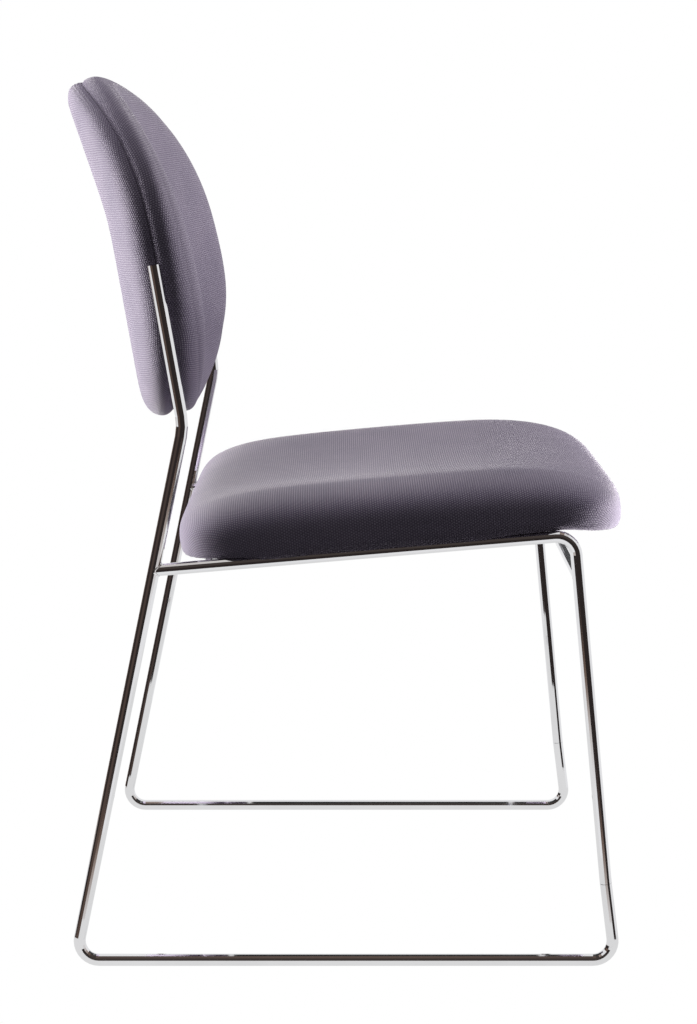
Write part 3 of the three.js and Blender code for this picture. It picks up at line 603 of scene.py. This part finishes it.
def mixed_colors(tree, blend, amount, first, second):
    """Two colours mixed. The amount and the second colour are a socket or a fixed value."""
    made = node(tree, "ShaderNodeMix", data_type="RGBA", blend_type=blend)
    tree.links.new(first, made.inputs["A"])
    for socket, value in (("Factor", amount), ("B", second)):
        if isinstance(value, (int, float, tuple)):
            made.inputs[socket].default_value = value
        else:
            tree.links.new(value, made.inputs[socket])
    return made.outputs["Result"]


def weighted(tree, first, first_share, second):
    """The sum of two values by their shares, which add up to 1."""
    return math_node(tree, "ADD", math_node(tree, "MULTIPLY", first, first_share),
                     math_node(tree, "MULTIPLY", second, 1 - first_share))


def bump(tree, shader, height, distance, strength=1.0):
    made = node(tree, "ShaderNodeBump")
    made.inputs["Distance"].default_value = distance
    made.inputs["Strength"].default_value = strength
    tree.links.new(height, made.inputs["Height"])
    tree.links.new(made.outputs["Normal"], shader.inputs["Normal"])


def scaled(tree, value, low, high):
    """The value, from 0 to 1, spread over another range."""
    made = node(tree, "ShaderNodeMapRange")
    made.inputs["To Min"].default_value = low
    made.inputs["To Max"].default_value = high
    tree.links.new(value, made.inputs["Value"])
    return made.outputs[0]


def smooth_rise(tree, value, low, high, top=1.0):
    """Rises smoothly from 0 to top while the value goes from low to high."""
    made = node(tree, "ShaderNodeMapRange", interpolation_type="SMOOTHSTEP")
    made.inputs["From Min"].default_value = low
    made.inputs["From Max"].default_value = high
    made.inputs["To Max"].default_value = top
    tree.links.new(value, made.inputs["Value"])
    return made.outputs[0]


# Knitted fabric

CELL_ALONG = 2.15 * MM
CELL_ACROSS = 2.6 * MM
CELL_STRETCH = 1.15
CELL_CORE, CELL_EDGE = 0.10, 0.46
KNIT_RELIEF = 0.26 * MM
YARN_RELIEF_SHARE = 0.1
YARN_SCALE = 2600
PATCH_SCALE = 14
KNIT_ROUGHNESS = (0.82, 0.98)
KNIT_SHINE = 0.25
SHEEN = 0.22
SHEEN_ROUGHNESS = 0.4
SHEEN_TINT = (1.0, 0.95, 1.0, 1)

# Colours from a cell's raised middle to its sunk rim, partly the knit's own tone and partly painted shade
# darkening the rim, and tints by patch and by yarn
KNIT_TONE_AND_RIM_SHADE_STOPS = [(0.0, (0.345, 0.318, 0.385)), (0.55, (0.275, 0.248, 0.315)), (1.0, (0.165, 0.138, 0.2))]
PATCH_TINTS = [(0.3, (0.90, 0.89, 0.92)), (0.7, (1.06, 1.04, 1.05))]
YARN_TINTS = [(0.25, (0.88, 0.86, 0.89)), (0.75, (1.09, 1.08, 1.09))]


def knit_material():
    """Knitted mesh: staggered cells, each with a sunk rim whose darker colour is partly the knit's own and
    partly painted shade, and fine yarn over them.
    """
    material, tree, shader = new_material("upholstery")
    uv = node(tree, "ShaderNodeUVMap", uv_map="cloth").outputs["UV"]
    split = node(tree, "ShaderNodeSeparateXYZ")
    tree.links.new(uv, split.inputs[0])
    along = math_node(tree, "DIVIDE", split.outputs["Y"], 2 * CELL_ALONG)
    across = math_node(tree, "DIVIDE", split.outputs["X"], CELL_ACROSS)

    def from_middle(value, shift):
        place = math_node(tree, "FRACT", math_node(tree, "ADD", value, shift))
        return math_node(tree, "SUBTRACT", place, 0.5)

    def cell(shift):
        stretch = 2 * CELL_ALONG / CELL_ACROSS * CELL_STRETCH
        u = math_node(tree, "MULTIPLY", from_middle(along, shift), stretch)
        v = from_middle(across, shift)
        squares = math_node(tree, "ADD", math_node(tree, "MULTIPLY", u, u), math_node(tree, "MULTIPLY", v, v))
        return math_node(tree, "SQRT", squares)

    distance = math_node(tree, "MINIMUM", cell(0.0), cell(0.5))
    rim = smooth_rise(tree, distance, CELL_CORE, CELL_EDGE)
    yarn = noise(tree, uv, YARN_SCALE, detail=2)
    patches = noise(tree, node(tree, "ShaderNodeTexCoord").outputs["Object"], PATCH_SCALE, detail=3)
    # The cell colour darkens toward the sunk rim: partly the knit's own tone, partly painted shade.
    tone_and_rim_shade = ramp(tree, rim, KNIT_TONE_AND_RIM_SHADE_STOPS)
    patched_with_rim_shade = mixed_colors(tree, "MULTIPLY", 1, tone_and_rim_shade, ramp(tree, patches, PATCH_TINTS))
    knit_color_with_rim_shade = mixed_colors(tree, "MULTIPLY", 1, patched_with_rim_shade, ramp(tree, yarn, YARN_TINTS))
    tree.links.new(knit_color_with_rim_shade, shader.inputs["Base Color"])
    tree.links.new(scaled(tree, rim, *KNIT_ROUGHNESS), shader.inputs["Roughness"])
    shader.inputs["Sheen Weight"].default_value = SHEEN
    shader.inputs["Sheen Roughness"].default_value = SHEEN_ROUGHNESS
    shader.inputs["Sheen Tint"].default_value = SHEEN_TINT
    shader.inputs["Specular IOR Level"].default_value = KNIT_SHINE
    height = math_node(tree, "SUBTRACT", math_node(tree, "MULTIPLY", yarn, YARN_RELIEF_SHARE), rim)
    bump(tree, shader, height, KNIT_RELIEF)
    return material


# Metal, wood and plastic

DARK_POSITION, LIGHT_POSITION = 0.3, 0.7
SMUDGE_SCALE = 9
SMUDGE_SHARE = 0.6
SMUDGE_TONE = 0.93
POLISHED_SHARE, DULLED_SHARE = 0.4, 1.6
SCRATCH_STRENGTH = 0.4
FINE_GRAIN_SHARE = 0.7
BROAD_GRAIN_SCALE = 20
GRAIN_ROUGHNESS_SPREAD = 0.15
WOOD_GRAIN_SCALE = 3
WOOD_GRAIN_STRETCH = (8, 90, 90)
WOOD_ROUGHNESS = (0.75, 0.5)
WOOD_STOPS = [(0.3, (0.38, 0.22, 0.10)), (0.55, (0.58, 0.38, 0.20)), (0.8, (0.68, 0.48, 0.28))]
WOOD_RELIEF = 0.2 * MM


def metal_material(name, color, roughness, scratch_scale, relief):
    """Bright metal with faint smudges and fine scratches."""
    material, tree, shader = new_material(name)
    coordinates = node(tree, "ShaderNodeTexCoord").outputs["Object"]
    smudge = noise(tree, coordinates, SMUDGE_SCALE, detail=4)
    fine = noise(tree, coordinates, scratch_scale, detail=2)
    shader.inputs["Metallic"].default_value = 1
    smudged = tuple(channel * SMUDGE_TONE for channel in color)
    tone = ramp(tree, smudge, [(DARK_POSITION, smudged), (LIGHT_POSITION, color)])
    tree.links.new(tone, shader.inputs["Base Color"])
    blend = weighted(tree, smudge, SMUDGE_SHARE, fine)
    dulled = scaled(tree, blend, roughness * POLISHED_SHARE, roughness * DULLED_SHARE)
    tree.links.new(dulled, shader.inputs["Roughness"])
    bump(tree, shader, fine, relief, SCRATCH_STRENGTH)
    return material


def plywood_material():
    """Pale veneer with its grain running across the chair."""
    material, tree, shader = new_material("plywood")
    stretched = node(tree, "ShaderNodeMapping")
    stretched.inputs["Scale"].default_value = WOOD_GRAIN_STRETCH
    tree.links.new(node(tree, "ShaderNodeTexCoord").outputs["Object"], stretched.inputs["Vector"])
    grain = noise(tree, stretched.outputs[0], WOOD_GRAIN_SCALE, detail=5)
    tree.links.new(ramp(tree, grain, WOOD_STOPS), shader.inputs["Base Color"])
    tree.links.new(scaled(tree, grain, *WOOD_ROUGHNESS), shader.inputs["Roughness"])
    bump(tree, shader, grain, WOOD_RELIEF)
    return material


def grained_material(name, dark, light, roughness, scale, relief):
    """A matt stuff with an even fine grain: the underside panel's, or moulded plastic."""
    material, tree, shader = new_material(name)
    coordinates = node(tree, "ShaderNodeTexCoord").outputs["Object"]
    fine = noise(tree, coordinates, scale, detail=4)
    broad = noise(tree, coordinates, BROAD_GRAIN_SCALE, detail=2)
    grain = weighted(tree, fine, FINE_GRAIN_SHARE, broad)
    tone = ramp(tree, grain, [(DARK_POSITION, dark), (LIGHT_POSITION, light)])
    tree.links.new(tone, shader.inputs["Base Color"])
    spread = roughness * GRAIN_ROUGHNESS_SPREAD
    grained = scaled(tree, fine, roughness - spread, min(1, roughness + spread))
    tree.links.new(grained, shader.inputs["Roughness"])
    bump(tree, shader, fine, relief)
    return material


knit = knit_material()
chrome = metal_material("chrome", (0.88, 0.88, 0.89), roughness=0.05, scratch_scale=900, relief=0.002 * MM)
steel = metal_material("bright_steel", (0.62, 0.62, 0.64), roughness=0.34, scratch_scale=1500,
                       relief=0.02 * MM)
plywood = plywood_material()
panel = grained_material("underside_panel", (0.008, 0.008, 0.009), (0.02, 0.02, 0.022),
                         roughness=0.85, scale=1200, relief=0.2 * MM)
plastic = grained_material("clip_plastic", (0.70, 0.69, 0.66), (0.80, 0.79, 0.76),
                           roughness=0.45, scale=1500, relief=0.02 * MM)


def finish_of(name):
    if "rod" in name or name.endswith("_rail_weld"):
        return chrome
    if name.endswith("_board"):
        return plywood
    if name == "seat_underside_cover":
        return panel
    if name.endswith("_clip"):
        return plastic
    return steel


# The chair's pieces

for name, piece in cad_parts.items():
    if name.endswith(("_cover", "_foam")) and name != "seat_underside_cover":
        continue
    piece.data.materials.clear()
    piece.data.materials.append(finish_of(name))

seat = build_seat(knit)
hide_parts("seat_cover", "seat_foam")
back_front = build_back_half("front", knit)
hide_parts("back_front_cover", "back_front_foam")
back_rear = build_back_half("rear", knit)
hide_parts("back_rear_cover", "back_rear_foam")
for cushion in (seat, back_front, back_rear):
    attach(cushion, "root")

# Studio, in metres

FLOOR_REACH = 0.45
FLOOR_SIDES = 96
FLOOR_COLOR = (0.22, 0.22, 0.225, 1)
FLOOR_ROUGHNESS = 0.9
FLOOR_REFLECTED = 0.8

# Windows in degrees: where each starts, is full, begins to fade and ends. Azimuth 0 is the camera's side.
FRONT_AZIMUTH = (-64, -42, 50, 86)
FRONT_HEIGHT = (-21, -15, 64, 80)
BESIDE_AZIMUTH = (-150, -128, -60, -30)
BESIDE_HEIGHT = (-12, -8, 10, 22)
UPPER_HEIGHT = (-6, 34, 64, 80)

# From the white studio to the dark room behind the camera
ROOM_STOPS = [(0.0, (0.86, 0.86, 0.87)), (0.35, (0.42, 0.36, 0.33)), (0.55, (0.16, 0.105, 0.08)),
              (0.8, (0.06, 0.043, 0.038)), (1.0, (0.027, 0.021, 0.02))]
UPPER_GLOW = (0.03, 0.025, 0.022, 1)
WHITE = (1, 1, 1, 1)

# Soft light from the far side, from above and from the camera's side
FILL_AWAY = 0.95
FILL_ABOVE = 0.26
FILL_TOWARD = 0.04
FILL_START, FILL_FULL = 0.2, 0.8

WARM_LIGHT = (0.97, 1.0, 0.91)
WHITE_LIGHT = (1.0, 0.99, 1.0)

# Name, place, aim, size, power and colour
SOFTBOXES = [
    ("rear_softbox", (0.8, 2.5, 0.42), (0, 0, 0.6), 1.4, 166, WARM_LIGHT),
    ("low_rear_softbox", (0.8, 1.9, -0.1), (0, 0, 0.6), 1.0, 34, WARM_LIGHT),
    ("front_softbox", (0.05, -0.82, 0.54), (0, -0.2, 0.42), 0.45, 5, WHITE_LIGHT),
    ("low_front_softbox", (0.1, -0.8, 0.06), (0, -0.2, 0.42), 0.4, 23, WARM_LIGHT),
    ("top_softbox", (0.0, 0.45, 1.25), (0, 0.25, 0.8), 0.4, 1.6, WHITE_LIGHT),
]

CAMERA_PLACE = (-2.2673, -0.0083, 0.7668)
CAMERA_DOWN = 5.691
CAMERA_LENS = 80.17
CAMERA_SENSOR = 36
CAMERA_SHIFT = -0.155


def build_floor():
    """A round floor patch under the chair, white to the camera and pale to the metal."""
    turns = [2 * math.pi * k / FLOOR_SIDES for k in range(FLOOR_SIDES)]
    rim = [(FLOOR_REACH * math.cos(turn), FLOOR_REACH * math.sin(turn), 0) for turn in turns]
    mesh = bpy.data.meshes.new("floor")
    mesh.from_pydata(rim, [], [tuple(range(FLOOR_SIDES))])
    floor = bpy.data.objects.new("floor", mesh)
    bpy.context.scene.collection.objects.link(floor)
    material, tree, shader = new_material("white_floor")
    shader.inputs["Base Color"].default_value = FLOOR_COLOR
    shader.inputs["Roughness"].default_value = FLOOR_ROUGHNESS
    path = node(tree, "ShaderNodeLightPath")
    seen = math_node(tree, "MAXIMUM", path.outputs["Is Camera Ray"], path.outputs["Is Glossy Ray"])
    white = node(tree, "ShaderNodeEmission")
    tree.links.new(scaled(tree, path.outputs["Is Camera Ray"], FLOOR_REFLECTED, 1), white.inputs["Strength"])
    mix = node(tree, "ShaderNodeMixShader")
    tree.links.new(seen, mix.inputs["Fac"])
    tree.links.new(shader.outputs[0], mix.inputs[1])
    tree.links.new(white.outputs[0], mix.inputs[2])
    tree.links.new(mix.outputs[0], tree.nodes["Material Output"].inputs["Surface"])
    mesh.materials.append(material)


def smooth_window(tree, value, degrees):
    """Rises and falls smoothly again at the four angles."""
    start, full, fade, end = [math.radians(angle) for angle in degrees]
    falling = math_node(tree, "SUBTRACT", 1.0, smooth_rise(tree, value, fade, end))
    return math_node(tree, "MULTIPLY", smooth_rise(tree, value, start, full), falling)


def build_world():
    """White to the camera, white with a dark room in front to the metal, and a soft fill to the rest."""
    world = bpy.data.worlds.new("studio")
    bpy.context.scene.world = world
    world.use_nodes = True
    tree = world.node_tree
    direction = node(tree, "ShaderNodeSeparateXYZ")
    tree.links.new(node(tree, "ShaderNodeTexCoord").outputs["Generated"], direction.inputs[0])
    toward = math_node(tree, "MULTIPLY", direction.outputs["X"], -1.0)
    forward = math_node(tree, "MULTIPLY", direction.outputs["Y"], -1.0)
    azimuth = math_node(tree, "ARCTAN2", forward, toward)
    height = math_node(tree, "ARCSINE", direction.outputs["Z"])

    sides = smooth_window(tree, azimuth, FRONT_AZIMUTH)
    front = math_node(tree, "MULTIPLY", sides, smooth_window(tree, height, FRONT_HEIGHT))
    beside = math_node(tree, "MULTIPLY", smooth_window(tree, azimuth, BESIDE_AZIMUTH),
                       smooth_window(tree, height, BESIDE_HEIGHT))
    room = ramp(tree, math_node(tree, "MAXIMUM", front, beside), ROOM_STOPS)
    upper = math_node(tree, "MULTIPLY", smooth_window(tree, height, UPPER_HEIGHT), sides)
    glowing = mixed_colors(tree, "ADD", upper, room, UPPER_GLOW)

    def fill(value, strength):
        return smooth_rise(tree, value, FILL_START, FILL_FULL, strength)

    away = math_node(tree, "MULTIPLY", toward, -1.0)
    ambient = math_node(tree, "ADD", fill(away, FILL_AWAY), fill(direction.outputs["Z"], FILL_ABOVE))
    ambient = math_node(tree, "ADD", ambient, fill(toward, FILL_TOWARD))
    path = node(tree, "ShaderNodeLightPath")
    lit = mixed_colors(tree, "MIX", path.outputs["Is Diffuse Ray"], glowing, ambient)
    shown = mixed_colors(tree, "MIX", path.outputs["Is Camera Ray"], lit, WHITE)
    tree.links.new(shown, tree.nodes["Background"].inputs["Color"])


def add_softbox(name, place, aim, size, power, color):
    light = bpy.data.lights.new(name, "AREA")
    light.size = size
    light.energy = power
    light.color = color
    lamp = bpy.data.objects.new(name, light)
    bpy.context.scene.collection.objects.link(lamp)
    lamp.location = place
    lamp.rotation_euler = Vector(np.subtract(aim, place)).to_track_quat("-Z", "Y").to_euler()
    lamp.visible_glossy = False
    lamp.visible_camera = False


def build_camera():
    camera = bpy.data.objects.new("camera", bpy.data.cameras.new("camera"))
    bpy.context.scene.collection.objects.link(camera)
    camera.location = CAMERA_PLACE
    camera.rotation_euler = (math.radians(90 - CAMERA_DOWN), 0, math.radians(-90))
    camera.data.lens = CAMERA_LENS
    camera.data.sensor_width = CAMERA_SENSOR
    camera.data.shift_y = CAMERA_SHIFT
    bpy.context.scene.camera = camera


build_floor()
build_world()
for softbox in SOFTBOXES:
    add_softbox(*softbox)
build_camera()
bpy.context.scene.view_settings.view_transform = "Standard"
